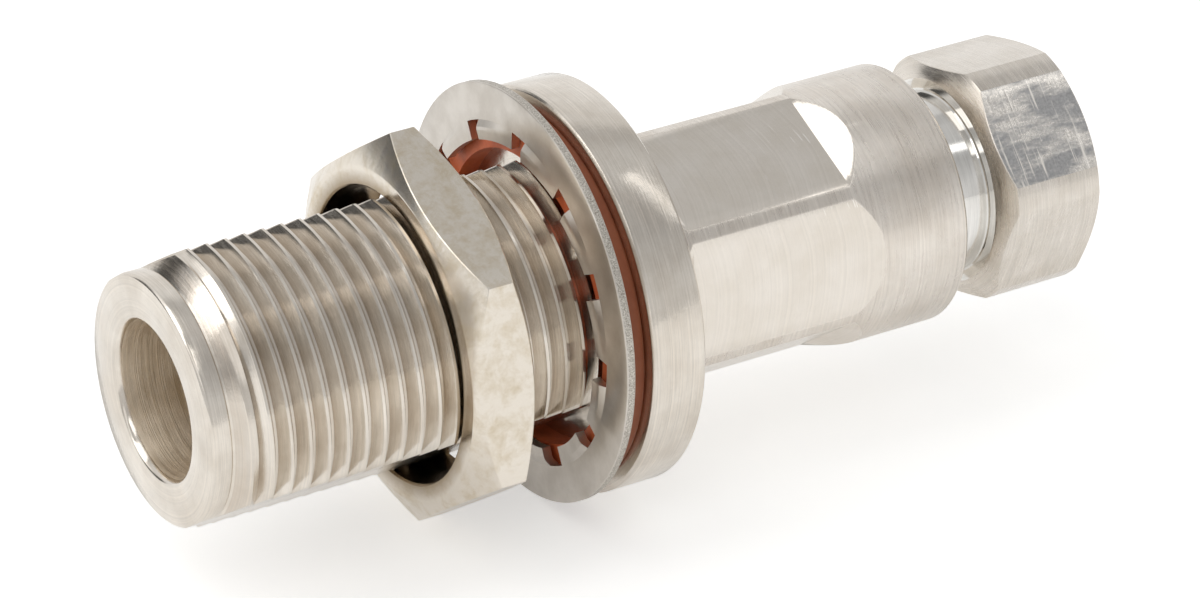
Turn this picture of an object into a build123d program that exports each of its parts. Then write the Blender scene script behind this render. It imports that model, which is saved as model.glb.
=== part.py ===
from build123d import *
import os
from math import cos, pi, radians, sin, tan

os.makedirs("parts", exist_ok=True)

# Bulkhead jack for small corrugated coaxial cable. All sizes are in millimetres.
# The axis of the connector is X: the mating end points to -X and the cable end to +X.
# The origin is the centre of the flange face that seats on the panel.
# Clock angles are counted about the axis, from -Y towards +Z.

# Barrel and nose, the standard 5/8 inch thread of this interface
thread_d = 15.875
barrel_length = 23.04
nose_d = 13.4
nose_rim_chamfer = 0.21
nose_length = 1.14
thread_lead_in = 1.0
barrel_flats_across = 13.22
barrel_flats_clock = 125.9
thread_relief_d = 14.6
thread_relief_length = 0.9

# Flange, milled bar and collar
flange_rim = 3.1425
flange_thickness = 3.17
flange_edge = 0.18
bar_d = 14.4
body_flats_across = 12.8
body_flats_start = 5.45
body_flats_length = 10.0
body_flats_clock = 6.3
flat_end_ramp = 29.0
cutter_margin = 0.2
collar_end = 22.2
collar_edge = 0.25

# Mating socket, measured from the rim inwards
mouth_chamfer = 0.255
lead_bore_d = 8.4
lead_bore_depth = 3.8
contact_bore_d = 8.04
reference_depth = 9.1
conductor_bore_d = 7.0

# Inner stack from the cable side
insulator_bore_d = 8.6
stack_clearance = 0.03
bead_thickness = 2.5
bead_slot = 1.8
bead_shoulder = -6.4
spacer_length = 9.9
stack_bore_end = 12.4
cone_ring_bore_d = 6.6
cone_ring_end = 14.0
cone_half_angle = 38.0
cone_tip_wall = 0.25

# Centre contact
socket_d = 3.04
socket_hole_d = 1.66
socket_tip_ahead = 5.0
socket_hole_depth = 4.4
socket_slot = 0.28
socket_slot_length = 3.6
stem_d = 2.2
cable_socket_d = 3.6
cable_socket_hole_d = 2.0
cable_socket_length = 5.0
cable_socket_hole_depth = 4.2
contact_edge = 0.12

# Cable chamber and the thread of the clamping nut
chamber_d = 9.4
chamber_end = 16.0
nut_thread_d = 11.2
nut_thread_clearance = 0.05
collar_mouth_chamfer = 0.3

# Clamping nut
clamp_nut_d = 14.0
clamp_nut_across = 12.8
clamp_nut_clock = 41.8
clamp_nut_strip_start = 25.6
clamp_nut_strip_end = 30.85
clamp_nut_front_chamfer = 1.25
clamp_nut_rear_chamfer = 1.1
hex_chamfer = 30.0
neck_d = 10.1
neck_fillet = 0.3
neck_start = 21.6
nut_thread_start = 18.8
nut_cavity_d = 8.8
nut_cavity_end = 27.5
cable_entry_d = 7.4
cable_entry_chamfer = 0.4

# Clamping ring set inside the nut
running_clearance = 0.05
collet_bore_d = 6.8
collet_start = 16.85
collet_length = 5.0
collet_slot = 0.5
collet_slot_length = 3.3
collet_fingers = 6
thrust_washer_thickness = 0.7
seal_clearance = 0.12
seal_bore_d = 7.0

# Panel gasket, lock washer and panel nut on the barrel
gasket_inset = 0.58
gasket_thickness = 1.25
gasket_bore_clearance = 0.1
gasket_edge = 0.3
washer_overhang = 0.32
washer_thickness = 0.5
washer_tooth_length = 1.02
washer_teeth = 12
washer_slot_clock = -3.2
washer_slot_width = 1.3
washer_twist = 9.0
washer_lift = 0.33
washer_barrel_clearance = 0.0825
washer_seat_clearance = 0.05
panel_nut_corner_inset = 0.081
panel_nut_clock = 36.0
panel_nut_front = -9.5
panel_nut_thickness = 3.6
panel_nut_face_inset = 0.425
panel_nut_bore_clearance = 0.06
panel_nut_countersink = 0.25

# The flange covers the gasket, and the washer and the corners of the nut end level with its edge
flange_d = thread_d + 2 * flange_rim
gasket_d = flange_d - 2 * gasket_inset
washer_d = flange_d + 2 * washer_overhang
washer_tip_d = thread_d + 2 * (washer_lift + washer_barrel_clearance)
washer_root_d = washer_tip_d + 2 * washer_tooth_length
panel_nut_corner_r = flange_d / 2 - panel_nut_corner_inset
panel_nut_flat_r = panel_nut_corner_r * cos(radians(30))

barrel_start = -barrel_length
bead_d = insulator_bore_d - 2 * stack_clearance
rear_bead_start = bead_shoulder + bead_thickness + spacer_length
rear_bead_end = rear_bead_start + bead_thickness
reference_plane = barrel_start + reference_depth


def outward(clock):
    "Unit vector that leaves the axis at a clock angle."
    return Vector(0, -cos(radians(clock)), sin(radians(clock)))


def lengthwise(clock):
    "Plane through the axis: its x runs along the connector and its y points out at the clock angle."
    return Plane(origin=(0, 0, 0), x_dir=(1, 0, 0), z_dir=Vector(1, 0, 0).cross(outward(clock)))


def across(x):
    "Plane square to the axis at a station, facing the cable end."
    return Plane.YZ.offset(x)


def turned(points, mode=Mode.ADD):
    "Turns a closed half section, given as stations and radii, about the axis."
    with BuildSketch(Plane.XZ) as half_section:
        with BuildLine():
            Polyline(*points, close=True)
        make_face()
    revolve(half_section.sketch, axis=Axis.X, mode=mode)


def ring(x_start, x_end, d_outer, d_inner):
    "Plain ring between two stations."
    with BuildSketch(across(x_start)) as cross_section:
        Circle(d_outer / 2)
        Circle(d_inner / 2, mode=Mode.SUBTRACT)
    extrude(cross_section.sketch, amount=x_end - x_start)


# Cutter for one spanner flat: a slab with a ramp at both ends, clear of the flange
with BuildPart() as flat_cutter:
    flat_level = body_flats_across / 2
    flat_depth = bar_d / 2 - flat_level + cutter_margin
    ramp_run = flat_depth / tan(radians(flat_end_ramp))
    body_flats_end = body_flats_start + body_flats_length
    with BuildSketch(lengthwise(body_flats_clock)):
        with BuildLine():
            Polyline(
                (body_flats_start, flat_level),
                (body_flats_end, flat_level),
                (body_flats_end + ramp_run, flat_level + flat_depth),
                (body_flats_start - ramp_run, flat_level + flat_depth),
                close=True,
            )
        make_face()
    extrude(amount=bar_d / 2, both=True)

# Connector body: one turned and milled brass piece with nose, barrel, flange, bar and collar
with BuildPart() as connector_body:
    nose_end = barrel_start + nose_length
    thread_start = nose_end + thread_lead_in
    turned(
        [
            (barrel_start, 0),
            (barrel_start, nose_d / 2 - nose_rim_chamfer),
            (barrel_start + nose_rim_chamfer, nose_d / 2),
            (nose_end, nose_d / 2),
            (thread_start, thread_d / 2),
            (-thread_relief_length, thread_d / 2),
            (-thread_relief_length, thread_relief_d / 2),
            (0, thread_relief_d / 2),
            (0, flange_d / 2 - flange_edge),
            (flange_edge, flange_d / 2),
            (flange_thickness - flange_edge, flange_d / 2),
            (flange_thickness, flange_d / 2 - flange_edge),
            (flange_thickness, bar_d / 2),
            (collar_end - collar_edge, bar_d / 2),
            (collar_end, bar_d / 2 - collar_edge),
            (collar_end, 0),
        ]
    )
    # Two flats milled along the barrel, so that it can't turn in a panel cut to the same shape
    for side in (0, 180):
        with BuildSketch(lengthwise(barrel_flats_clock + side)):
            with Locations((barrel_start, barrel_flats_across / 2)):
                Rectangle(barrel_length, thread_d / 2, align=(Align.MIN, Align.MIN))
        extrude(amount=thread_d, both=True, mode=Mode.SUBTRACT)
    # Six spanner flats milled in the round bar
    for index in range(6):
        add(flat_cutter.part.rotate(Axis.X, 60 * index), mode=Mode.SUBTRACT)
    # Mating socket: chamfered mouth, lead-in bore, contact bore and the narrower conductor bore
    turned(
        [
            (barrel_start, 0),
            (barrel_start, lead_bore_d / 2 + mouth_chamfer),
            (barrel_start + mouth_chamfer, lead_bore_d / 2),
            (barrel_start + lead_bore_depth, lead_bore_d / 2),
            (barrel_start + lead_bore_depth, contact_bore_d / 2),
            (reference_plane, contact_bore_d / 2),
            (reference_plane, conductor_bore_d / 2),
            (bead_shoulder, conductor_bore_d / 2),
            (bead_shoulder, 0),
        ],
        mode=Mode.SUBTRACT,
    )
    # Cable side: bore of the inner stack, cable chamber and the bore that the nut screws into
    collar_bore_r = nut_thread_d / 2 + nut_thread_clearance
    turned(
        [
            (bead_shoulder, 0),
            (bead_shoulder, insulator_bore_d / 2),
            (stack_bore_end, insulator_bore_d / 2),
            (stack_bore_end, chamber_d / 2),
            (chamber_end, chamber_d / 2),
            (chamber_end, collar_bore_r),
            (collar_end - collar_mouth_chamfer, collar_bore_r),
            (collar_end, collar_bore_r + collar_mouth_chamfer),
            (collar_end, 0),
        ],
        mode=Mode.SUBTRACT,
    )

# Insulating beads: slotted discs that snap over the stem of the contact
with BuildPart() as front_insulator:
    ring(bead_shoulder, bead_shoulder + bead_thickness, bead_d, stem_d + 2 * stack_clearance)
    with BuildSketch(across(bead_shoulder)):
        Rectangle(bead_d, bead_slot, align=(Align.MIN, Align.CENTER))
    extrude(amount=bead_thickness, mode=Mode.SUBTRACT)

with BuildPart() as rear_insulator:
    ring(rear_bead_start, rear_bead_end, bead_d, stem_d + 2 * stack_clearance)
    with BuildSketch(across(rear_bead_start)):
        Rectangle(bead_d, bead_slot, align=(Align.MIN, Align.CENTER))
    extrude(amount=bead_thickness, mode=Mode.SUBTRACT)

# Spacer sleeve that holds the beads apart and carries the outer current
with BuildPart() as spacer_sleeve:
    ring(bead_shoulder + bead_thickness, rear_bead_start, bead_d, conductor_bore_d)

# Cone ring that the flared cable jacket is clamped on
with BuildPart() as contact_cone:
    cone_tip_r = cone_ring_bore_d / 2 + cone_tip_wall
    cone_base = cone_ring_end - (bead_d / 2 - cone_tip_r) / tan(radians(cone_half_angle))
    turned(
        [
            (rear_bead_end, cone_ring_bore_d / 2),
            (rear_bead_end, bead_d / 2),
            (cone_base, bead_d / 2),
            (cone_ring_end, cone_tip_r),
            (cone_ring_end, cone_ring_bore_d / 2),
        ]
    )

# Centre contact: slotted spring socket in front, stem through the beads, cable socket behind
with BuildPart() as centre_contact:
    socket_tip = reference_plane - socket_tip_ahead
    cable_socket_end = rear_bead_end + cable_socket_length
    turned(
        [
            (socket_tip, socket_hole_d / 2),
            (socket_tip, socket_d / 2 - contact_edge),
            (socket_tip + contact_edge, socket_d / 2),
            (bead_shoulder, socket_d / 2),
            (bead_shoulder, stem_d / 2),
            (rear_bead_end, stem_d / 2),
            (rear_bead_end, cable_socket_d / 2),
            (cable_socket_end - contact_edge, cable_socket_d / 2),
            (cable_socket_end, cable_socket_d / 2 - contact_edge),
            (cable_socket_end, cable_socket_hole_d / 2),
            (cable_socket_end - cable_socket_hole_depth, cable_socket_hole_d / 2),
            (cable_socket_end - cable_socket_hole_depth, 0),
            (socket_tip + socket_hole_depth, 0),
            (socket_tip + socket_hole_depth, socket_hole_d / 2),
        ]
    )
    # Crossed saw cuts part each socket into four springs
    with BuildSketch(across(socket_tip)):
        Rectangle(socket_d + cutter_margin, socket_slot)
        Rectangle(socket_slot, socket_d + cutter_margin)
    extrude(amount=socket_slot_length, mode=Mode.SUBTRACT)
    with BuildSketch(across(cable_socket_end)):
        Rectangle(cable_socket_d + cutter_margin, socket_slot)
        Rectangle(socket_slot, cable_socket_d + cutter_margin)
    extrude(amount=-socket_slot_length, mode=Mode.SUBTRACT)

# Clamping nut: threaded tube, smooth neck and a hexagon turned down at its corners
with BuildPart() as clamp_nut:
    nut_r = clamp_nut_d / 2
    slope = tan(radians(hex_chamfer))
    hex_front = clamp_nut_strip_start - clamp_nut_front_chamfer * slope
    clamp_nut_end = clamp_nut_strip_end + clamp_nut_rear_chamfer * slope
    turned(
        [
            (hex_front, 0),
            (hex_front, nut_r - clamp_nut_front_chamfer),
            (clamp_nut_strip_start, nut_r),
            (clamp_nut_strip_end, nut_r),
            (clamp_nut_end, nut_r - clamp_nut_rear_chamfer),
            (clamp_nut_end, 0),
        ]
    )
    with BuildSketch(across(hex_front)):
        RegularPolygon(clamp_nut_across / 2, 6, major_radius=False, rotation=30 - clamp_nut_clock)
    extrude(amount=clamp_nut_end - hex_front, mode=Mode.INTERSECT)
    turned(
        [
            (nut_thread_start, 0),
            (nut_thread_start, nut_thread_d / 2 - neck_fillet),
            (nut_thread_start + neck_fillet, nut_thread_d / 2),
            (neck_start, nut_thread_d / 2),
            (neck_start + (nut_thread_d - neck_d) / 2, neck_d / 2),
            (hex_front + neck_fillet, neck_d / 2),
            (hex_front + neck_fillet, 0),
        ]
    )
    turned(
        [
            (nut_thread_start, 0),
            (nut_thread_start, nut_cavity_d / 2),
            (nut_cavity_end, nut_cavity_d / 2),
            (nut_cavity_end, cable_entry_d / 2),
            (clamp_nut_end - cable_entry_chamfer, cable_entry_d / 2),
            (clamp_nut_end, cable_entry_d / 2 + cable_entry_chamfer),
            (clamp_nut_end, 0),
        ],
        mode=Mode.SUBTRACT,
    )

# Clamping collet: slotted ring whose fingers close on the cable as the nut drives it forward
collet_d = nut_cavity_d - 2 * running_clearance
collet_end = collet_start + collet_length
with BuildPart() as clamping_collet:
    collet_mouth = (collet_d - collet_bore_d) / 4
    turned(
        [
            (collet_start, collet_bore_d / 2 + collet_mouth),
            (collet_start, collet_d / 2 - collet_mouth / 2),
            (collet_start + collet_mouth / 2, collet_d / 2),
            (collet_end, collet_d / 2),
            (collet_end, collet_bore_d / 2),
            (collet_start + collet_mouth, collet_bore_d / 2),
        ]
    )
    with BuildSketch(across(collet_start)):
        with PolarLocations(collet_bore_d / 4 + collet_d / 4, collet_fingers):
            Rectangle(collet_d - collet_bore_d, collet_slot)
    extrude(amount=collet_slot_length, mode=Mode.SUBTRACT)

# Thrust washer between the collet and the rubber seal
with BuildPart() as thrust_washer:
    seal_start = collet_end + thrust_washer_thickness
    ring(collet_end, seal_start, collet_d, seal_bore_d)

# Cable seal: rubber bush that is squeezed onto the jacket of the cable
with BuildPart() as cable_seal:
    ring(seal_start, nut_cavity_end - seal_clearance, nut_cavity_d - 2 * seal_clearance, seal_bore_d)

# Panel gasket: flat silicone ring with eased outer edges, seated on the flange
with BuildPart() as panel_gasket:
    ring(-gasket_thickness, 0, gasket_d, thread_d + 2 * gasket_bore_clearance)
    outer_edges = panel_gasket.edges().filter_by(GeomType.CIRCLE).group_by(SortBy.RADIUS)[-1]
    chamfer(outer_edges, length=gasket_edge)

# Lock washer: sheared ring with inner teeth, each twisted about its own radius and set forward,
# so that its front edge bites the nut and its rear edge stays level with the ring
with BuildPart() as lock_washer:
    tooth_pitch = 360 / washer_teeth
    tooth_width = pi * washer_tip_d / washer_teeth - washer_slot_width
    tooth_rise = tooth_width / 2 * sin(radians(washer_twist))
    washer_middle = -gasket_thickness - washer_seat_clearance - washer_thickness / 2
    ring(
        washer_middle - washer_thickness / 2,
        washer_middle + washer_thickness / 2,
        washer_d,
        washer_root_d,
    )
    for index in range(washer_teeth):
        tooth_clock = washer_slot_clock + (index + 0.5) * tooth_pitch
        tooth_axis = outward(tooth_clock)
        tooth_base = tooth_axis * (washer_tip_d / 2) + Vector(washer_middle - tooth_rise, 0, 0)
        tooth_plane = Plane(origin=tooth_base, x_dir=Vector(1, 0, 0).cross(tooth_axis), z_dir=tooth_axis)
        with BuildSketch(tooth_plane):
            Rectangle(tooth_width, washer_thickness, rotation=washer_twist)
        extrude(amount=(washer_root_d - washer_tip_d) / 2 + washer_thickness)
lock_washer.part = lock_washer.part.moved(Location((0, 0, washer_lift)))

# Panel nut: hexagon chamfered on both faces, bored for the barrel thread
with BuildPart() as panel_nut:
    panel_nut_face_r = panel_nut_flat_r - panel_nut_face_inset
    panel_nut_rear = panel_nut_front + panel_nut_thickness
    chamfer_run = (panel_nut_corner_r - panel_nut_face_r) * slope
    turned(
        [
            (panel_nut_front, 0),
            (panel_nut_front, panel_nut_face_r),
            (panel_nut_front + chamfer_run, panel_nut_corner_r),
            (panel_nut_rear - chamfer_run, panel_nut_corner_r),
            (panel_nut_rear, panel_nut_face_r),
            (panel_nut_rear, 0),
        ]
    )
    with BuildSketch(across(panel_nut_front)):
        RegularPolygon(panel_nut_flat_r, 6, major_radius=False, rotation=-panel_nut_clock)
    extrude(amount=panel_nut_thickness, mode=Mode.INTERSECT)
    bore_r = thread_d / 2 + panel_nut_bore_clearance
    turned(
        [
            (panel_nut_front, 0),
            (panel_nut_front, bore_r + panel_nut_countersink),
            (panel_nut_front + panel_nut_countersink, bore_r),
            (panel_nut_rear - panel_nut_countersink, bore_r),
            (panel_nut_rear, bore_r + panel_nut_countersink),
            (panel_nut_rear, 0),
        ],
        mode=Mode.SUBTRACT,
    )

pieces = {
    "connector_body": connector_body,
    "panel_gasket": panel_gasket,
    "lock_washer": lock_washer,
    "panel_nut": panel_nut,
    "clamp_nut": clamp_nut,
    "clamping_collet": clamping_collet,
    "thrust_washer": thrust_washer,
    "cable_seal": cable_seal,
    "contact_cone": contact_cone,
    "rear_insulator": rear_insulator,
    "spacer_sleeve": spacer_sleeve,
    "front_insulator": front_insulator,
    "centre_contact": centre_contact,
}
for name, piece in pieces.items():
    piece.part.label = name
    export_step(piece.part, f"parts/{name}.step")
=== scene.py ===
import bmesh
import bpy
from math import acos, asin, cos, degrees, pi, radians, sin, sqrt, tan
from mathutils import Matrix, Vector


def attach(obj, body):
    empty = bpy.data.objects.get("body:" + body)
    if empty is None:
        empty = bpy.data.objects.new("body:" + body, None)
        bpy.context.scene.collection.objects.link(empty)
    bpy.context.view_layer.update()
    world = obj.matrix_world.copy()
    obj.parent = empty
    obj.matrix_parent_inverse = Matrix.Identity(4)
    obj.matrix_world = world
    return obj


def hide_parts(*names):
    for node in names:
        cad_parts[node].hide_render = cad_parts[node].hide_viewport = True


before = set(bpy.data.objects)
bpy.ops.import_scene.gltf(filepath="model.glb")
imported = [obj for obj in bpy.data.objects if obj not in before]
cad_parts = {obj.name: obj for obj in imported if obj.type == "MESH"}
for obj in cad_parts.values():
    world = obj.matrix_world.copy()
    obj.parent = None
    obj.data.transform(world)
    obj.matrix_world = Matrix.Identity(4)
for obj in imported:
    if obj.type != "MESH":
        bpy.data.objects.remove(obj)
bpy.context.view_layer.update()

# Connector body, mating end: the nose, the threaded barrel with two milled flats, and the flange, turned
# from a bar of brass in one piece with the bar behind them, then plated with a pale nickel-like alloy.
# Sizes here and below are millimetres and degrees. Clock angles go about the axis, from -Y towards +Z.
thread_r = 7.9375
thread_pitch = 25.4 / 24
thread_root_r = 7.27
thread_crest_width = 0.16
thread_root_width = 0.13
crest_ease = 0.025
crest_phase = -20.270
barrel_front = -23.04
nose_r = 6.7
nose_chamfer = 0.15
nose_step = -21.9
nose_line_width = 0.06
nose_line_depth = 0.05
lead_cone_end = -20.9
groove_start = lead_cone_end - 0.2
groove_fade_in = 0.35
relief_start = -0.95
relief_r = 7.15
run_out_slope = 1.6
barrel_flat_level = 6.61
barrel_flat_clock = 125.9
barrel_flat_edge = 0.25
mouth_r = 4.5
mouth_depth = 0.55
lead_bore_r = 4.2
lead_bore_end = -19.24
lead_bore_step = 0.1
contact_bore_r = 4.02
reference_plane = -13.94
conductor_bore_r = 3.5
bead_seat = -6.4
stack_bore_r = 4.3
flange_r = 11.08
flange_end = 3.17
flange_chamfer = 0.16
flange_ease = 0.02
flange_face_r = 7.7
flange_rear_r = 6.9
rim_ease = 0.03
spare = 0.1


def at(station, radius, clock):
    """A point in metres, from its station on the axis, its radius and its clock angle."""
    turn = radians(clock)
    return Vector((station, -radius * cos(turn), radius * sin(turn))) * 0.001


def barrel_loop(station, radius, flat_level=barrel_flat_level):
    """A turn around the barrel, cut by its two flats, whose edges each get a narrow face of their own.
    station gives the place on the axis at a clock angle, and radius gives the radius at a station."""
    least_half = 12
    flat_ends = []
    for side in (0, 180):
        for sign in (-1, 1):
            half = 20.0
            # Along the helix the radius changes with the clock, so a flat's end is closed in on.
            for _ in range(9):
                x = station(barrel_flat_clock + side + sign * half)
                half = max(degrees(acos(min(1, flat_level / radius(x)))), least_half)
            flat_ends.append(side + sign * half)
    near_low, near_high, far_low, far_high = flat_ends
    edge = barrel_flat_edge
    spans = (
        (-90, near_low - edge, 30),
        (near_low + edge, near_high - edge, 12),
        (near_high + edge, far_low - edge, 60),
        (far_low + edge, far_high - edge, 12),
        (far_high + edge, 270, 30),
    )
    points = []
    for low, high, steps in spans:
        for i in range(steps + 1):
            turn = low + (high - low) * i / steps
            clock = barrel_flat_clock + turn
            x = station(clock)
            r = radius(x)
            off_middle = abs((turn + 90) % 180 - 90)
            if off_middle < 60:
                r = min(r, flat_level / cos(radians(off_middle)))
            points.append(at(x, r, clock))
    return points


def plain_turn(x, r, flat_level=barrel_flat_level):
    """A turn around the barrel that stays at one station and one radius."""
    return barrel_loop(lambda clock: x, lambda station: r, flat_level)


def eased_chamfer(face_x, rim_r, chamfer, inward, ease=rim_ease):
    """The section of a chamfer from a face out to its rim, with its own two edges eased."""
    return [
        (face_x, rim_r - chamfer - ease),
        (face_x + inward * ease, rim_r - chamfer + ease),
        (face_x + inward * (chamfer - rim_ease), rim_r - ease),
        (face_x + inward * (chamfer + rim_ease), rim_r),
    ]


def thread_rows(start, end, pitch, phase, crest_r, crest_width, root_r, root_width):
    """A thread's section, with a turn or more to spare at both ends: stations at clock zero, and radii."""
    flank = (pitch - crest_width - root_width) / 2
    eased_r = crest_r + (root_r - crest_r) * crest_ease / flank
    one_turn = (
        (-crest_width / 2 - crest_ease, eased_r),
        (-crest_width / 2, crest_r),
        (crest_width / 2, crest_r),
        (crest_width / 2 + crest_ease, eased_r),
        (crest_width / 2 + flank, root_r),
        (crest_width / 2 + flank + root_width, root_r),
    )
    first = int((start - phase) / pitch) - 2
    last = int((end - phase) / pitch) + 4
    return [(phase + turn * pitch + x, r) for turn in range(first, last) for x, r in one_turn]


def groove_r(x, row_r):
    """The barrel's radius on one row of its thread: under the lead cone in front, where the grooves only
    start near its end, and under the cone that runs out into the relief groove."""
    lead = nose_r + (x - nose_step) * (thread_r - nose_r) / (lead_cone_end - nose_step)
    run_out = relief_r + (relief_start - x) * run_out_slope
    outside = min(lead, run_out)
    share = min(1, max(0, (x - groove_start) / groove_fade_in))
    return outside - max(0, outside - row_r) * share


def piece_of(build, name, body, node, crease_of):
    """Turns a mesh into a piece on its body: normals outward, smooth, but sharp past an edge's crease."""
    bmesh.ops.recalc_face_normals(build, faces=build.faces)
    for face in build.faces:
        face.smooth = True
    for edge in build.edges:
        edge.smooth = edge.calc_face_angle(0) < radians(crease_of(edge))
    mesh = bpy.data.meshes.new(name)
    build.to_mesh(mesh)
    build.free()
    piece = bpy.data.objects.new(name, mesh)
    bpy.context.scene.collection.objects.link(piece)
    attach(piece, body)
    if node:
        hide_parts(node)
    return piece


def skin(name, loops, body, node, crease=28):
    """Joins loops of points into a closed surface: each to the next, and the last to the first."""
    build = bmesh.new()
    rows = [[build.verts.new(point) for point in loop] for loop in loops]
    for one, two in zip(rows, rows[1:] + rows[:1]):
        for i in range(len(one) - 1):
            build.faces.new((one[i], one[i + 1], two[i + 1], two[i]))
    bmesh.ops.remove_doubles(build, verts=build.verts, dist=2e-7)
    bmesh.ops.dissolve_degenerate(build, edges=build.edges, dist=1e-7)
    return piece_of(build, name, body, node, lambda edge: crease)


nose_section = [
    (bead_seat, conductor_bore_r),
    (reference_plane, conductor_bore_r),
    (reference_plane, contact_bore_r),
    (lead_bore_end - lead_bore_step, contact_bore_r),
    (lead_bore_end, lead_bore_r),
]
for angle in range(0, 91, 15):
    mouth_x = barrel_front + mouth_depth * (1 - sin(radians(angle)))
    nose_section.append((mouth_x, lead_bore_r + (mouth_r - lead_bore_r) * (1 - cos(radians(angle)))))
nose_section += eased_chamfer(barrel_front, nose_r, nose_chamfer, 1)
nose_section += [
    (nose_step - nose_line_width, nose_r),
    (nose_step - nose_line_width / 2, nose_r - nose_line_depth),
    (nose_step, nose_r),
]
barrel = [plain_turn(x, r) for x, r in nose_section]
for at_zero, row_r in thread_rows(
    nose_step, relief_start, thread_pitch, crest_phase,
    thread_r, thread_crest_width, thread_root_r, thread_root_width,
):
    barrel.append(
        barrel_loop(
            lambda clock: min(max(at_zero - thread_pitch * clock / 360, nose_step), relief_start),
            lambda x: groove_r(x, row_r),
        )
    )
barrel += [plain_turn(relief_start, relief_r), plain_turn(0, relief_r)]
flange_section = [
    (0, flange_face_r),
    *eased_chamfer(0, flange_r, flange_chamfer, 1, flange_ease),
    *reversed(eased_chamfer(flange_end, flange_r, flange_chamfer, -1, flange_ease)),
    (flange_end, flange_rear_r),
    (flange_end, stack_bore_r),
    (bead_seat, stack_bore_r),
]
barrel += [plain_turn(x, r, flange_r) for x, r in flange_section]
barrel_piece = skin("threaded_barrel", barrel, "connector", "connector_body")


def shade(code):
    """An sRGB hex colour as linear red, green, blue and alpha."""
    channels = [int(code[i:i + 2], 16) / 255 for i in (0, 2, 4)]
    return tuple(c / 12.92 if c <= 0.04045 else ((c + 0.055) / 1.055) ** 2.4 for c in channels) + (1,)


def add(tree, kind, values=(), links=(), **settings):
    """Adds a node with its settings, its socket values and the sockets that feed it."""
    made = tree.nodes.new("ShaderNode" + kind)
    for key, value in settings.items():
        setattr(made, key, value)
    for key, value in dict(values).items():
        made.inputs[key].default_value = value
    for key, socket in dict(links).items():
        tree.links.new(socket, made.inputs[key])
    return made


def new_finish(name, metallic):
    """An empty material, its nodes, and the socket that gives places on the piece, in metres."""
    material = bpy.data.materials.new(name)
    material.use_nodes = True
    tree = material.node_tree
    tree.nodes["Principled BSDF"].inputs["Metallic"].default_value = metallic
    return material, tree, add(tree, "TexCoord").outputs["Object"]


def from_axis(tree, place):
    """Sockets for the station on the connector's axis, the height, and the distance from the axis."""
    parts = add(tree, "SeparateXYZ", links={0: place}).outputs
    cross = add(tree, "CombineXYZ", links={"Y": parts["Y"], "Z": parts["Z"]})
    off_axis = add(tree, "VectorMath", operation="LENGTH", links={0: cross.outputs[0]})
    return parts["X"], parts["Z"], off_axis.outputs["Value"]


def lay_on(tree, colour, roughness, height, depth_mm):
    """Gives the surface its colour, its roughness and a relief of that depth."""
    surface = tree.nodes["Principled BSDF"]
    relief = add(tree, "Bump", values={"Strength": 1, "Distance": depth_mm * 0.001}, links={"Height": height})
    tree.links.new(colour, surface.inputs["Base Color"])
    tree.links.new(roughness, surface.inputs["Roughness"])
    tree.links.new(relief.outputs[0], surface.inputs["Normal"])


def per_mm(count):
    """The scale of a pattern that has so many features in a millimetre."""
    return count * 1000


film_r = 7.25
film_fade = 0.45
film_least_r = 6.8
film_end = -0.5
film_share = 0.24
film_gain = 1.5


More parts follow.
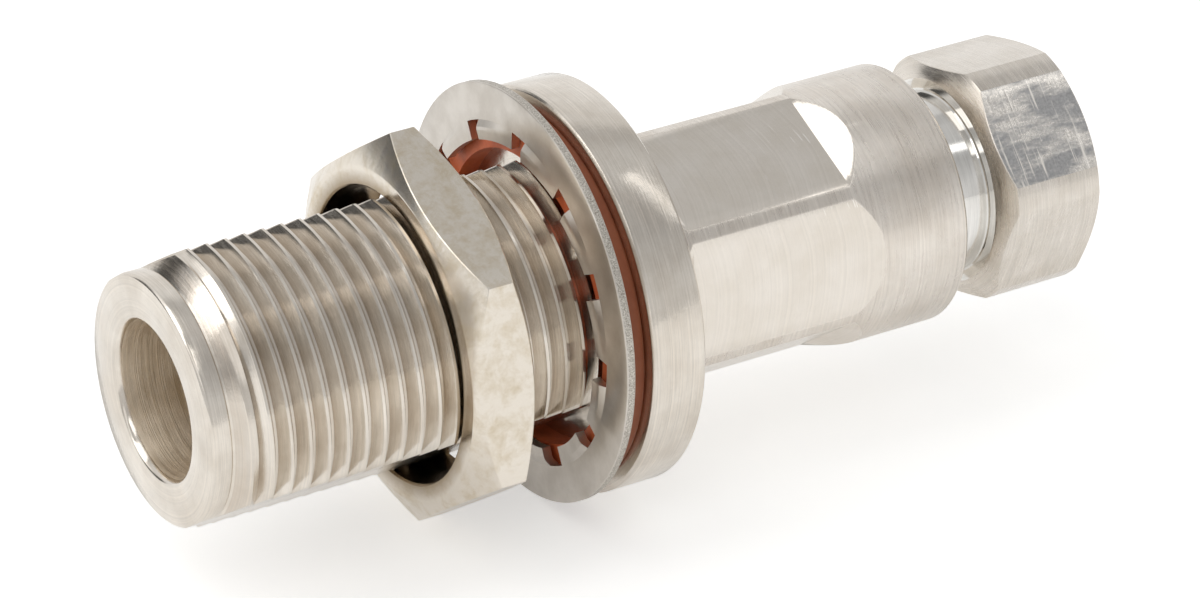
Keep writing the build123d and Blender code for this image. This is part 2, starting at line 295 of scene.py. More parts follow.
def turned_plate(name, pale, dull, lines_per_mm, depth_mm, smooth, rough, film=None, dents_mm=0):
    """Plated brass from the lathe: rings all around, with streaks and clouds in its colour and shine.
    The rings are depth_mm deep and the dents from tumbling dents_mm. Real rings are 0.02 to 0.05 mm
    apart, too fine to show, so lines_per_mm draws them coarser. film is a stain in the barrel's thread."""
    metal, tree, place = new_finish(name, metallic=1)
    surface = tree.nodes["Principled BSDF"]
    surface.inputs["Anisotropic"].default_value = 0.6
    surface.inputs["Anisotropic Rotation"].default_value = 0.25
    turn = add(tree, "Tangent", direction_type="RADIAL", axis="X")
    tree.links.new(turn.outputs[0], surface.inputs["Tangent"])

    # The tool's path counts along the wall and across the faces, so that both get rings.
    station, _, off_axis = from_axis(tree, place)
    path = add(tree, "Math", operation="MULTIPLY_ADD", values={1: 0.7}, links={0: off_axis, 2: station})
    rings = add(
        tree, "TexNoise", noise_dimensions="1D",
        values={"Scale": per_mm(lines_per_mm), "Detail": 4, "Roughness": 0.75},
        links={"W": path.outputs[0]},
    ).outputs["Fac"]
    # Streaks are about a ring wide and 2.4 mm long, clouds 3 mm wide, dents 1.1 mm apart.
    stretched = add(
        tree, "Mapping", values={"Scale": (per_mm(lines_per_mm * 0.9), per_mm(0.42), per_mm(0.42))},
        links={"Vector": place},
    )
    streaks = add(
        tree, "TexNoise", values={"Scale": 1, "Detail": 5, "Roughness": 0.65},
        links={"Vector": stretched.outputs[0]},
    ).outputs["Fac"]
    clouds = add(
        tree, "TexNoise", values={"Scale": per_mm(0.33), "Detail": 6, "Roughness": 0.62},
        links={"Vector": place},
    )
    dents = add(
        tree, "TexNoise", values={"Scale": per_mm(0.9), "Detail": 4, "Roughness": 0.5},
        links={"Vector": place},
    )
    height = add(tree, "Math", operation="MULTIPLY_ADD", values={1: 0.6}, links={0: streaks, 2: rings})
    height = add(
        tree, "Math", operation="MULTIPLY_ADD", values={1: dents_mm / depth_mm},
        links={0: dents.outputs["Fac"], 2: height.outputs[0]},
    )

    worn = add(
        tree, "MapRange", values={"From Min": 0.36, "From Max": 0.64}, links={0: clouds.outputs["Fac"]}
    )
    colour = add(
        tree, "Mix", data_type="RGBA", values={6: shade(pale), 7: shade(dull)}, links={0: worn.outputs[0]}
    ).outputs[2]
    for marks, low, darkest, brightest in ((streaks, 0.3, 0.9, 1.06), (rings, 0.25, 0.88, 1.04)):
        tone = add(
            tree, "MapRange",
            values={"From Min": low, "From Max": 0.7, "To Min": darkest, "To Max": brightest},
            links={0: marks},
        )
        colour = add(
            tree, "VectorMath", operation="SCALE", links={0: colour, "Scale": tone.outputs[0]}
        ).outputs[0]
    if film:
        # The film lies in the thread's roots alone: not in the socket, and not behind the thread.
        share = add(
            tree, "MapRange",
            values={
                "From Min": film_r * 0.001, "From Max": (film_r + film_fade) * 0.001,
                "To Min": film_share, "To Max": 0,
            },
            links={0: off_axis},
        )
        outside = add(
            tree, "Math", operation="GREATER_THAN", values={1: film_least_r * 0.001}, links={0: off_axis}
        )
        ahead = add(tree, "Math", operation="LESS_THAN", values={1: film_end * 0.001}, links={0: station})
        for part in (outside.outputs[0], ahead.outputs[0], streaks):
            share = add(tree, "Math", operation="MULTIPLY", links={0: share.outputs[0], 1: part})
        share = add(
            tree, "Math", operation="MULTIPLY", use_clamp=True, values={1: film_gain},
            links={0: share.outputs[0]},
        )
        colour = add(
            tree, "Mix", data_type="RGBA", values={7: shade(film)}, links={0: share.outputs[0], 6: colour}
        ).outputs[2]
    shine = add(
        tree, "MapRange", values={"From Min": 0.3, "From Max": 0.7, "To Min": smooth, "To Max": rough},
        links={0: streaks},
    )
    lay_on(tree, colour, shine.outputs[0], height.outputs[0], depth_mm)
    return metal


def face_place(face):
    """The station of a face's middle and its distance from the axis."""
    middle = face.center * 1000
    return middle.x, sqrt(middle.y ** 2 + middle.z ** 2)


# Satin plate over turned brass. Its rings draw each light out along the axis, while light and dark stay
# crisp around it. Dents from tumbling break up the nose, and a brown film from the bath warms the roots.
barrel_plate = turned_plate(
    "turned_plated_brass", "e9e2d8", "dbd2c6", lines_per_mm=9, depth_mm=0.0026,
    smooth=0.10, rough=0.24, film="8a6f52", dents_mm=0.016,
)
barrel_piece.data.materials.append(barrel_plate)

# The same plate where the socket is bored and left rough: deep rings scatter the light into an even,
# creamy wall.
bored_plate = turned_plate(
    "bored_plated_brass", "f6ead8", "e2d3bd", lines_per_mm=5, depth_mm=0.03, smooth=0.35, rough=0.6
)
barrel_piece.data.materials.append(bored_plate)
for face in barrel_piece.data.polygons:
    x, off_axis = face_place(face)
    if barrel_front + mouth_depth - spare < x < bead_seat + spare and off_axis < mouth_r - spare:
        face.material_index = 1

# Connector body, cable end: a round bar with six spanner flats, milled in with a ramp at both ends, and
# the collar, bored and threaded for the clamping nut. It is one with the flange, and plated with it.
bar_r = 7.2
bar_flat_level = 6.4
bar_flat_clock = 6.3
bar_flat_start = 5.45
bar_flat_end = 15.45
bar_strip_steps = 24
ramp_angle = 29.0
ramp_steps = 9
flats_reach = 17.4
flat_edge = 0.28
flat_least = 0.01
flat_steps = 12
bar_front = flange_end - 0.1
bar_surface_r = bar_r - 0.02
collar_end = 22.2
collar_chamfer = 0.25
collar_bore_start = 16.0
collar_bore_r = 5.65
collar_bore_end = collar_end - 0.3
collar_root_r = 6.0
collar_crest_width = 0.12
collar_root_width = 0.1
collar_thread_start = collar_bore_start + 0.6
collar_lead = 0.1
chamber_r = 4.7
chamber_start = 12.4
fine_pitch = 0.75
fine_run_out = 0.05


def hexagon_loop(first_clock, half, strip_steps, point_at):
    """A turn around six flats and the strips between them. A flat reaches half to both sides of its
    middle. point_at makes a point from its clock and how far that is from the middle of a flat."""
    reach = max(half - flat_edge, flat_least)
    strip = 60 - 2 * half - 2 * flat_edge
    points = []
    for sector in range(6):
        middle = first_clock + 60 * sector
        clocks = [middle - reach + 2 * reach * i / flat_steps for i in range(flat_steps + 1)]
        if strip > 0:
            clocks += [middle + half + flat_edge + strip * i / strip_steps for i in range(strip_steps)]
        else:
            clocks += [middle + 30] * strip_steps
        points += [point_at(clock, abs(clock - middle)) for clock in clocks]
    points.append(point_at(first_clock + 360 - reach, reach))
    return points


def flatted_turn(x, level, half):
    """A turn around the bar where its flats lie at that level."""
    return hexagon_loop(
        bar_flat_clock, half, bar_strip_steps,
        lambda clock, off_middle: at(x, min(bar_r, level / cos(radians(min(off_middle, 30)))), clock),
    )


def round_turn(x, r):
    """A turn around the bar or its bore where it is round."""
    return hexagon_loop(bar_flat_clock, 0, bar_strip_steps, lambda clock, off_middle: at(x, r, clock))


def on_helix(at_zero, row_r, clock, start, end, wall_r, lead):
    """Station and radius on one row of a fine thread, cut from past its lead to where it runs out."""
    x = at_zero - fine_pitch * clock / 360
    cut = start + lead < x < end - fine_run_out
    return min(max(x, start), end), row_r if cut else wall_r


def collar_thread_turn(at_zero, row_r):
    """A turn along one row of the thread in the collar."""

    def point_at(clock, off_middle):
        x, r = on_helix(
            at_zero, row_r, clock, collar_thread_start, collar_bore_end, collar_bore_r, collar_lead
        )
        return at(x, r, clock)

    return hexagon_loop(bar_flat_clock, 0, bar_strip_steps, point_at)


widest = degrees(acos(bar_flat_level / bar_r))
halves = [widest * i / ramp_steps for i in range(ramp_steps + 1)]
bar = [round_turn(bar_front, bar_r)]
for ramp_foot, outward, ramp in ((bar_flat_start, -1, halves), (bar_flat_end, 1, halves[::-1])):
    for half in ramp:
        level = bar_r * cos(radians(half))
        along = (level - bar_flat_level) / tan(radians(ramp_angle))
        bar.append(flatted_turn(ramp_foot + outward * along, level, half))
collar_section = [
    *reversed(eased_chamfer(collar_end, bar_r, collar_chamfer, -1)),
    (collar_end, collar_bore_r + collar_end - collar_bore_end),
    (collar_bore_end, collar_bore_r),
]
bar += [round_turn(x, r) for x, r in collar_section]
collar_rows = thread_rows(
    collar_thread_start, collar_bore_end, fine_pitch, 0,
    collar_bore_r, collar_crest_width, collar_root_r, collar_root_width,
)
bar += [collar_thread_turn(at_zero, row_r) for at_zero, row_r in reversed(collar_rows)]
chamber_section = [
    (collar_bore_start, collar_bore_r),
    (collar_bore_start, chamber_r),
    (chamber_start, chamber_r),
    (chamber_start, stack_bore_r),
    (bar_front, stack_bore_r),
]
bar += [round_turn(x, r) for x, r in chamber_section]
bar_piece = skin("milled_bar", bar, "connector", None)
bar_piece.data.materials.append(barrel_plate)

# Plate over face-milled brass. The end mill leaves shallow arcs across each flat, one for each step of
# feed, which give a flat a soft silky grain. Each bows by 0.65 mm from a flat's middle to its edges.
arc_bow = 60.0
arc_wander = 0.00035
scratch_start = 10.5
scratch_full = 14.5
scratch_level = 3.5
milled, tree, place = new_finish("milled_plated_brass", metallic=1)
station, height, off_axis = from_axis(tree, place)
wobble = add(tree, "TexNoise", values={"Scale": per_mm(0.26), "Detail": 3}, links={"Vector": place})
squared = add(tree, "Math", operation="POWER", values={1: 2.0}, links={0: off_axis})
bowed = add(
    tree, "Math", operation="MULTIPLY_ADD", values={1: arc_bow}, links={0: squared.outputs[0], 2: station}
)
path = add(
    tree, "Math", operation="MULTIPLY_ADD", values={1: arc_wander},
    links={0: wobble.outputs["Fac"], 2: bowed.outputs[0]},
)
# Arcs and grain are 0.2 mm apart. The real ones are finer and wouldn't show.
arcs = add(
    tree, "TexNoise", noise_dimensions="1D", values={"Scale": per_mm(5.2), "Detail": 4, "Roughness": 0.7},
    links={"W": path.outputs[0]},
)
grain = add(
    tree, "TexNoise", values={"Scale": per_mm(5.2), "Detail": 4, "Roughness": 0.6}, links={"Vector": place}
)
clouds = add(
    tree, "TexNoise", values={"Scale": per_mm(0.42), "Detail": 5, "Roughness": 0.6}, links={"Vector": place}
)
relief = add(
    tree, "Math", operation="MULTIPLY_ADD", values={1: 0.2},
    links={0: grain.outputs["Fac"], 2: arcs.outputs["Fac"]},
)
tone = add(tree, "MapRange", values={"From Min": 0.35, "From Max": 0.65}, links={0: clouds.outputs["Fac"]})
colour = add(
    tree, "Mix", data_type="RGBA", values={6: shade("e7e0d7"), 7: shade("e0d8cd")},
    links={0: tone.outputs[0]},
)
feed = add(
    tree, "MapRange", values={"From Min": 0.3, "From Max": 0.7, "To Min": 0.95, "To Max": 1.02},
    links={0: arcs.outputs["Fac"]},
)
colour = add(
    tree, "VectorMath", operation="SCALE", links={0: colour.outputs[2], "Scale": feed.outputs[0]}
)
# Where the cutter rises, before the rear ramp, short bright scratches follow its arcs on the upper flats.
sparse = add(tree, "TexNoise", values={"Scale": per_mm(0.7), "Detail": 2}, links={"Vector": place})
fine_arcs = add(
    tree, "TexNoise", noise_dimensions="1D", values={"Scale": per_mm(7), "Detail": 1, "Roughness": 0.6},
    links={"W": path.outputs[0]},
)
scratch = add(
    tree, "MapRange", values={"From Min": 0.55, "From Max": 0.6, "To Max": 0.8},
    links={0: sparse.outputs["Fac"]},
)
thin = add(tree, "MapRange", values={"From Min": 0.62, "From Max": 0.66}, links={0: fine_arcs.outputs["Fac"]})
near_ramp = add(
    tree, "MapRange", values={"From Min": scratch_start * 0.001, "From Max": scratch_full * 0.001},
    links={0: station},
)
upper = add(
    tree, "Math", operation="GREATER_THAN", values={1: scratch_level * 0.001}, links={0: height}
)
for part in (thin, near_ramp, upper):
    scratch = add(tree, "Math", operation="MULTIPLY", links={0: scratch.outputs[0], 1: part.outputs[0]})
colour = add(
    tree, "Mix", data_type="RGBA", values={7: shade("fbf7f1")},
    links={0: scratch.outputs[0], 6: colour.outputs[0]},
)
shine = add(
    tree, "MapRange", values={"From Min": 0.3, "From Max": 0.7, "To Min": 0.12, "To Max": 0.26},
    links={0: grain.outputs["Fac"]},
)
lay_on(tree, colour.outputs[2], shine.outputs[0], relief.outputs[0], depth_mm=0.0026)
bar_piece.data.materials.append(milled)

# The collar and the strips between the flats keep the coarse rings of the first turning cut. They
# sparkle a little and spread the light wider than the flats do.
ringed_plate = turned_plate(
    "ring_turned_plated_brass", "ece5dc", "dfd6cb", lines_per_mm=6, depth_mm=0.02, smooth=0.24, rough=0.36
)
bar_piece.data.materials.append(ringed_plate)
for face in bar_piece.data.polygons:
    x, off_axis = face_place(face)
    if bar_front < x < flats_reach and bar_flat_level - 2 * spare < off_axis < bar_surface_r:
        face.material_index = 1
    elif off_axis > bar_surface_r:
        face.material_index = 2

# Panel gasket: a flat ring of red-brown silicone rubber with round outer edges, moulded. It lies
# against the front of the flange and seals the connector to its panel.
gasket_r = 10.35
gasket_bore_r = 8.04
gasket_thickness = 1.25
gasket_round = 0.32
gasket_step = 3
round_section = [
    (gasket_round * (1 - cos(radians(angle))), gasket_r - gasket_round * (1 - sin(radians(angle))))
    for angle in range(0, 91, 15)
]
gasket_section = [
    (0, gasket_bore_r),
    (-gasket_thickness, gasket_bore_r),
    *((-gasket_thickness + inward, r) for inward, r in round_section),
    *((-inward, r) for inward, r in reversed(round_section)),
]
gasket_piece = skin(
    "silicone_gasket",
    [[at(x, r, clock) for clock in range(0, 361, gasket_step)] for x, r in gasket_section],
    "connector",
    "panel_gasket",
    crease=40,
)

# Iron-red silicone, a little waxy: light goes slightly in, so it glows orange where it is lit. Its rim
# in the gap by the washer is painted dark brown: painted shade for the deep shadow there. Flow marks are
# 1.1 mm wide. Dust specks are 0.14 mm wide, coarser than real dust, which wouldn't show.
rim_shade_from_r = 9.9
rim_shade_r = 10.2
silicone, tree, place = new_finish("moulded_silicone_rubber", metallic=0)
surface = tree.nodes["Principled BSDF"]
surface.inputs["IOR"].default_value = 1.42
surface.inputs["Subsurface Weight"].default_value = 0.08
surface.inputs["Subsurface Scale"].default_value = 0.0006
_, _, off_axis = from_axis(tree, place)
flow = add(
    tree, "TexNoise", values={"Scale": per_mm(0.9), "Detail": 5, "Roughness": 0.6}, links={"Vector": place}
)
dust = add(
    tree, "TexNoise", values={"Scale": per_mm(7), "Detail": 3, "Roughness": 0.7}, links={"Vector": place}
)
tone = add(tree, "MapRange", values={"From Min": 0.3, "From Max": 0.7}, links={0: flow.outputs["Fac"]})
colour = add(
    tree, "Mix", data_type="RGBA", values={6: shade("e6794a"), 7: shade("cb6139")},
    links={0: tone.outputs[0]},
)
specks = add(
    tree, "MapRange", values={"From Min": 0.68, "From Max": 0.8, "To Max": 0.5},
    links={0: dust.outputs["Fac"]},
)
colour = add(
    tree, "Mix", data_type="RGBA", values={7: shade("d9a58c")},
    links={0: specks.outputs[0], 6: colour.outputs[2]},
)
# Painted shade: past 9.9 mm the rim is mixed towards dark brown, for the shadow in the gap by the washer.
rim = add(
    tree, "MapRange",
    values={"From Min": rim_shade_from_r * 0.001, "From Max": rim_shade_r * 0.001, "To Max": 0.72},
    links={0: off_axis},
)
colour = add(
    tree, "Mix", data_type="RGBA", values={7: shade("5f3f2b")},
    links={0: rim.outputs[0], 6: colour.outputs[2]},
)
shine = add(tree, "MapRange", values={"To Min": 0.38, "To Max": 0.58}, links={0: flow.outputs["Fac"]})
lay_on(tree, colour.outputs[2], shine.outputs[0], dust.outputs["Fac"], depth_mm=0.004)
gasket_piece.data.materials.append(silicone)

# Lock washer: stamped from spring steel strip, then plated. Its twelve inner teeth are twisted about
# their own length, so that their edges bite the nut. It hangs loose on the barrel, a little off centre.
washer_r = 11.395
washer_front = -1.8
washer_rear = -1.3
washer_lift = Vector((0, 0, 0.33)) * 0.001
slot_r = 9.37
slot_clock = -3.2
slot_width = 1.3
tooth_count = 12
tooth_tip_r = 8.35
tooth_twist = 4.5
twist_rate = 2.5
tooth_crease = 10
rim_crease = 35
die_roll = ((0, 0.07), (0.03, 0.02), (0.08, 0))
sheared_edge = ((0.05, 0), (0, 0.04))
across_tooth = [-1 + i / 5 for i in range(11)]
down_tooth = [i / 6 for i in range(7)]
washer_section = [
    (washer_front, slot_r),
    *((washer_front + inward, washer_r - down) for inward, down in die_roll),
    *((washer_rear - inward, washer_r - down) for inward, down in sheared_edge),
    (washer_rear, slot_r),
]


def tooth_half_width(r):
    """Half the width of a tooth at a radius. The slots between the teeth have parallel sides."""
    return r * sin(pi / tooth_count) - slot_width / 2


def tooth_clock(tooth, across, r):
    """The clock of a point on a tooth, from its place across the tooth, -1 to 1, and its radius."""
    middle = slot_clock + 360 / tooth_count * (tooth + 0.5)
    return middle + degrees(asin(across * tooth_half_width(r) / r))


def tooth_point(tooth, face_x, across, down):
    """A point on a tooth's front or rear, which twists forward within the first part of its length."""
    r = slot_r + (tooth_tip_r - slot_r) * down
    twist = tan(radians(tooth_twist)) * min(1, twist_rate * down)
    forward = twist * tooth_half_width(r) * (1 + across)
    return at(face_x - forward, r, tooth_clock(tooth, across, r)) + washer_lift


def slot_clocks(tooth):
    """Four clocks along the bottom of the slot that follows a tooth."""
    low = tooth_clock(tooth, 1, slot_r)
    high = tooth_clock(tooth + 1, -1, slot_r)
    return [low + (high - low) * i / 3 for i in range(4)]


def join_rows(build, rows):
    """Joins rows of points, each to the next, into faces."""
    rows = [[build.verts.new(point) for point in row] for row in rows]
    for one, two in zip(rows, rows[1:]):
        for i in range(len(one) - 1):
            build.faces.new((one[i], one[i + 1], two[i + 1], two[i]))


def washer_crease(edge):
    """Teeth bend sharply where they leave the ring, and the ring's stamped rim is softer."""
    middle = (edge.verts[0].co + edge.verts[1].co) / 2 - washer_lift
    on_tooth = sqrt(middle.y ** 2 + middle.z ** 2) < (slot_r + 0.01) * 0.001
    return tooth_crease if on_tooth else rim_crease


washer = bmesh.new()
ring_clocks = []
for tooth in range(tooth_count):
    ring_clocks += [tooth_clock(tooth, across, slot_r) for across in across_tooth]
    ring_clocks += slot_clocks(tooth)[1:3]
    sheets = [
        [[tooth_point(tooth, face_x, across, down) for across in across_tooth] for down in down_tooth]
        for face_x in (washer_front, washer_rear)
    ]
    join_rows(washer, sheets[0])
    join_rows(washer, sheets[1])
    join_rows(washer, [sheet[-1] for sheet in sheets])
    join_rows(washer, [[row[0] for row in sheet] for sheet in sheets])
    join_rows(washer, [[row[-1] for row in sheet] for sheet in sheets])
    join_rows(washer, [
        [at(x, slot_r, clock) + washer_lift for clock in slot_clocks(tooth)]
        for x in (washer_front, washer_rear)
    ])
ring_clocks.append(ring_clocks[0] + 360)
join_rows(washer, [[at(x, r, clock) + washer_lift for clock in ring_clocks] for x, r in washer_section])
bmesh.ops.remove_doubles(washer, verts=washer.verts, dist=2e-6)
washer_piece = piece_of(washer, "toothed_washer", "washer", "lock_washer", washer_crease)

# Plated steel strip, tumbled after stamping: an even grey sheen without a direction. Its grain is
# 0.15 mm wide, coarser than the real one, and its clouds are 2 mm wide.
strip, tree, place = new_finish("stamped_plated_steel", metallic=1)
grain = add(
    tree, "TexNoise", values={"Scale": per_mm(6.5), "Detail": 4, "Roughness": 0.65}, links={"Vector": place}
)
clouds = add(
    tree, "TexNoise", values={"Scale": per_mm(0.5), "Detail": 5, "Roughness": 0.6}, links={"Vector": place}
)
tone = add(tree, "MapRange", values={"From Min": 0.35, "From Max": 0.65}, links={0: clouds.outputs["Fac"]})
colour = add(
    tree, "Mix", data_type="RGBA", values={6: shade("d8d2ca"), 7: shade("c6bfb6")},
    links={0: tone.outputs[0]},
)
shine = add(tree, "MapRange", values={"To Min": 0.26, "To Max": 0.42}, links={0: grain.outputs["Fac"]})
lay_on(tree, colour.outputs[2], shine.outputs[0], grain.outputs["Fac"], depth_mm=0.0025)
washer_piece.data.materials.append(strip)

# The sheared rim is half smooth and half torn by the die, so it glitters like broken sugar. Its grit
# is 0.07 mm wide, the finest that shows.
rim_lean = 0.3
sheared, tree, place = new_finish("sheared_steel_rim", metallic=1)
grit = add(
    tree, "TexNoise", values={"Scale": per_mm(14), "Detail": 3, "Roughness": 0.8}, links={"Vector": place}
)
tone = add(tree, "MapRange", values={"From Min": 0.38, "From Max": 0.62}, links={0: grit.outputs["Fac"]})
colour = add(
    tree, "Mix", data_type="RGBA", values={6: shade("8f877c"), 7: shade("e2ddd5")},
    links={0: tone.outputs[0]},
)
shine = add(tree, "MapRange", values={"To Min": 0.3, "To Max": 0.6}, links={0: grit.outputs["Fac"]})
lay_on(tree, colour.outputs[2], shine.outputs[0], grit.outputs["Fac"], depth_mm=0.02)
washer_piece.data.materials.append(sheared)
for face in washer_piece.data.polygons:
    middle = (face.center - washer_lift) * 1000
    if abs(face.normal.x) < rim_lean and sqrt(middle.y ** 2 + middle.z ** 2) > washer_r - spare:
        face.material_index = 1

# Panel nut: a thin hexagon nut, turned and bored from brass bar, chamfered on both faces and plated.
# It runs on the barrel thread and clamps the panel against the flange.
panel_nut_flat = 9.524
panel_nut_clock = 6.0
panel_nut_front = -9.5
panel_nut_rear = -5.9
panel_nut_face_r = 9.1
panel_nut_bore_r = 8.0
panel_nut_sink = 0.1
sink_ease = 0.03
sink_rim_ease = 0.02
nearly_corner = 29.9
panel_nut_corner = panel_nut_flat / cos(radians(nearly_corner))
chamfer_slope = tan(radians(30))
face_ease = 0.035
widest_half = 29.99
nut_strip_steps = 4


def chamfered_face(face_x, inward, face_r, h):
    """The section of a nut's face and its turned chamfer, out to where the uncut hexagon has radius h."""
    return [
        (face_x, face_r - face_ease),
        (face_x + inward * face_ease * chamfer_slope, face_r + face_ease),
        (face_x + inward * (h - face_ease - face_r) * chamfer_slope, h - face_ease),
        (face_x + inward * ((h - face_r) * chamfer_slope + face_ease), h),
    ]


def nut_loops(first_clock, flat_level, round_r, section_at):
    """Turns around a nut whose corners are turned down to round_r. section_at gives its section, as
    stations and radii, from the radius h of the uncut hexagon and the clock."""
    half = min(degrees(acos(min(1, flat_level / round_r))), widest_half)

    def points_at(clock, off_middle):
        h = min(round_r, flat_level / cos(radians(min(off_middle, 60 - off_middle))))
        return [at(x, r, clock) for x, r in section_at(h, clock)]

    return list(zip(*hexagon_loop(first_clock, half, nut_strip_steps, points_at)))


def panel_nut_section(h, clock):
    """The panel nut from its bore over the front, the hexagon and the rear back to its bore."""
    return [
        (panel_nut_front + panel_nut_sink, panel_nut_bore_r),
        (panel_nut_front + sink_ease, panel_nut_bore_r + panel_nut_sink - sink_ease),
        (panel_nut_front, panel_nut_bore_r + panel_nut_sink + sink_rim_ease),
        *chamfered_face(panel_nut_front, 1, panel_nut_face_r, h),
        *reversed(chamfered_face(panel_nut_rear, -1, panel_nut_face_r, h)),
        (panel_nut_rear, panel_nut_bore_r + panel_nut_sink),
        (panel_nut_rear - panel_nut_sink, panel_nut_bore_r),
    ]


panel_nut_piece = skin(
    "hexagon_panel_nut",
    nut_loops(panel_nut_clock, panel_nut_flat, panel_nut_corner, panel_nut_section),
    "nut_on_barrel",
    "panel_nut",
    crease=14,
)

# Tumbled plate over brass that has yellowed in patches, 1.3 mm wide, with a brown ring around the bore,
# partly a stain and partly painted shade and reflection where the nut meets the barrel thread: a softer,
# warmer mirror than the body's. Its grain of 0.2 mm is coarser than the real one.
bore_ring_r = 8.05
bore_ring_end_r = 8.9
patina, tree, place = new_finish("yellowed_plated_brass", metallic=1)
_, _, off_axis = from_axis(tree, place)
blotch = add(
    tree, "TexNoise", values={"Scale": per_mm(0.76), "Detail": 7, "Roughness": 0.7, "Distortion": 0.2},
    links={"Vector": place},
)
grain = add(
    tree, "TexNoise", values={"Scale": per_mm(4.8), "Detail": 4, "Roughness": 0.6}, links={"Vector": place}
)
tone = add(tree, "MapRange", values={"From Min": 0.44, "From Max": 0.74}, links={0: blotch.outputs["Fac"]})
colour = add(
    tree, "Mix", data_type="RGBA", values={6: shade("e4dcd0"), 7: shade("cbbca2")},
    links={0: tone.outputs[0]},
)
# Painted shade and reflection, partly stain: the colour turns brown towards the bore, strongest at its edge.
bore_stain_and_shade = add(
    tree, "MapRange",
    values={"From Min": bore_ring_r * 0.001, "From Max": bore_ring_end_r * 0.001, "To Min": 0.9, "To Max": 0},
    links={0: off_axis},
)
colour = add(
    tree, "Mix", data_type="RGBA", values={7: shade("8d7859")},
    links={0: bore_stain_and_shade.outputs[0], 6: colour.outputs[2]},
)
shine = add(
    tree, "MapRange", values={"From Min": 0.35, "From Max": 0.65, "To Min": 0.17, "To Max": 0.25},
    links={0: blotch.outputs["Fac"]},
)
lay_on(tree, colour.outputs[2], shine.outputs[0], grain.outputs["Fac"], depth_mm=0.0018)
panel_nut_piece.data.materials.append(patina)

# Clamping nut: turned from hexagon brass bar and plated. It has a threaded tube that screws into the
# collar, a smooth neck, and a hexagon whose corners are turned down to narrow strips.
clamp_flat = 6.4
clamp_r = 7.0
clamp_clock = 41.8
clamp_front_r = 5.75
clamp_rear_r = 5.9
strip_start = 25.6
strip_end = 30.85
clamp_front = strip_start - (clamp_r - clamp_front_r) * chamfer_slope
clamp_rear = strip_end + (clamp_r - clamp_rear_r) * chamfer_slope
neck_r = 5.05
neck_start = 21.6
neck_cone = 0.55
neck_fillet = ((0.12, 0), (0.03, 0.04), (0, 0.14))
tube_r = 5.6
tube_start = 18.8
tube_chamfer = 0.3
tube_root_r = 5.2
tube_crest_width = 0.1
tube_root_width = 0.08
tube_thread_start = tube_start + 0.4
tube_lead = 0.05
cavity_r = 4.4
cavity_end = 27.5
entry_r = 3.7
entry_chamfer = 0.4
tube_rows = thread_rows(
    tube_thread_start, neck_start, fine_pitch, 0, tube_r, tube_crest_width, tube_root_r, tube_root_width
)


def clamp_section(h, clock):
    """The clamping nut from its cavity over tube, neck and hexagon to the cable entry."""
    thread = [
        on_helix(at_zero, row_r, clock, tube_thread_start, neck_start, tube_r, tube_lead)
        for at_zero, row_r in tube_rows
    ]
    return [
        (tube_start, cavity_r),
        (tube_start, tube_r - tube_chamfer),
        (tube_start + tube_chamfer, tube_r),
        *thread,
        (neck_start, tube_r),
        (neck_start + neck_cone, neck_r),
        *((clamp_front - back, neck_r + out) for back, out in neck_fillet),
        *chamfered_face(clamp_front, 1, clamp_front_r, h),
        *reversed(chamfered_face(clamp_rear, -1, clamp_rear_r, h)),
        (clamp_rear, entry_r + entry_chamfer),
        (clamp_rear - entry_chamfer, entry_r),
        (cavity_end, entry_r),
        (cavity_end, cavity_r),
    ]


clamp_piece = skin(
    "hexagon_clamping_nut",
    nut_loops(clamp_clock, clamp_flat, clamp_r, clamp_section),
    "nut_on_collar",
    "clamp_nut",
    crease=14,
)

# Plate over drawn hexagon bar: shallow marks across a silvery, softly mirroring skin.
drawn_plate = turned_plate(
    "drawn_plated_brass", "e7e0d7", "d8d0c5", lines_per_mm=6, depth_mm=0.0016, smooth=0.18, rough=0.34
)
clamp_piece.data.materials.append(drawn_plate)

# The neck is burnished for the collar's seal, so it mirrors the studio nearly sharply.
burnished_plate = turned_plate(
    "burnished_plated_brass", "edebe7", "e2dfda", lines_per_mm=5, depth_mm=0.0006, smooth=0.06, rough=0.12
)
clamp_piece.data.materials.append(burnished_plate)

# One flat is rubbed grey by a spanner, with bright scores across it: patches 6 mm long and 1.6 mm wide
# that shine less, and scores 0.24 mm wide and 4 mm long. The grit of 0.14 mm is coarser than the real one.
nearly_same_way = 0.97
rubbed, tree, place = new_finish("spanner_rubbed_plate", metallic=1)
patch_place = add(
    tree, "Mapping", values={"Scale": (per_mm(0.17), per_mm(0.62), per_mm(0.62))}, links={"Vector": place}
)
patches = add(
    tree, "TexNoise", values={"Scale": 1, "Detail": 6, "Roughness": 0.7},
    links={"Vector": patch_place.outputs[0]},
)
score_place = add(
    tree, "Mapping", values={"Scale": (per_mm(4.2), per_mm(0.23), per_mm(0.23))}, links={"Vector": place}
)
scores = add(
    tree, "TexNoise", values={"Scale": 1, "Detail": 3, "Roughness": 0.6},
    links={"Vector": score_place.outputs[0]},
)
grit = add(
    tree, "TexNoise", values={"Scale": per_mm(7), "Detail": 3, "Roughness": 0.7}, links={"Vector": place}
)
tone = add(tree, "MapRange", values={"From Min": 0.44, "From Max": 0.56}, links={0: patches.outputs["Fac"]})
colour = add(
    tree, "Mix", data_type="RGBA", values={6: shade("e6e1da"), 7: shade("b0afaf")},
    links={0: tone.outputs[0]},
)
speck = add(
    tree, "MapRange", values={"From Min": 0.35, "From Max": 0.65, "To Min": 0.82, "To Max": 1.12},
    links={0: grit.outputs["Fac"]},
)
colour = add(
    tree, "VectorMath", operation="SCALE", links={0: colour.outputs[2], "Scale": speck.outputs[0]}
)
bright = add(tree, "MapRange", values={"From Min": 0.58, "From Max": 0.66}, links={0: scores.outputs["Fac"]})
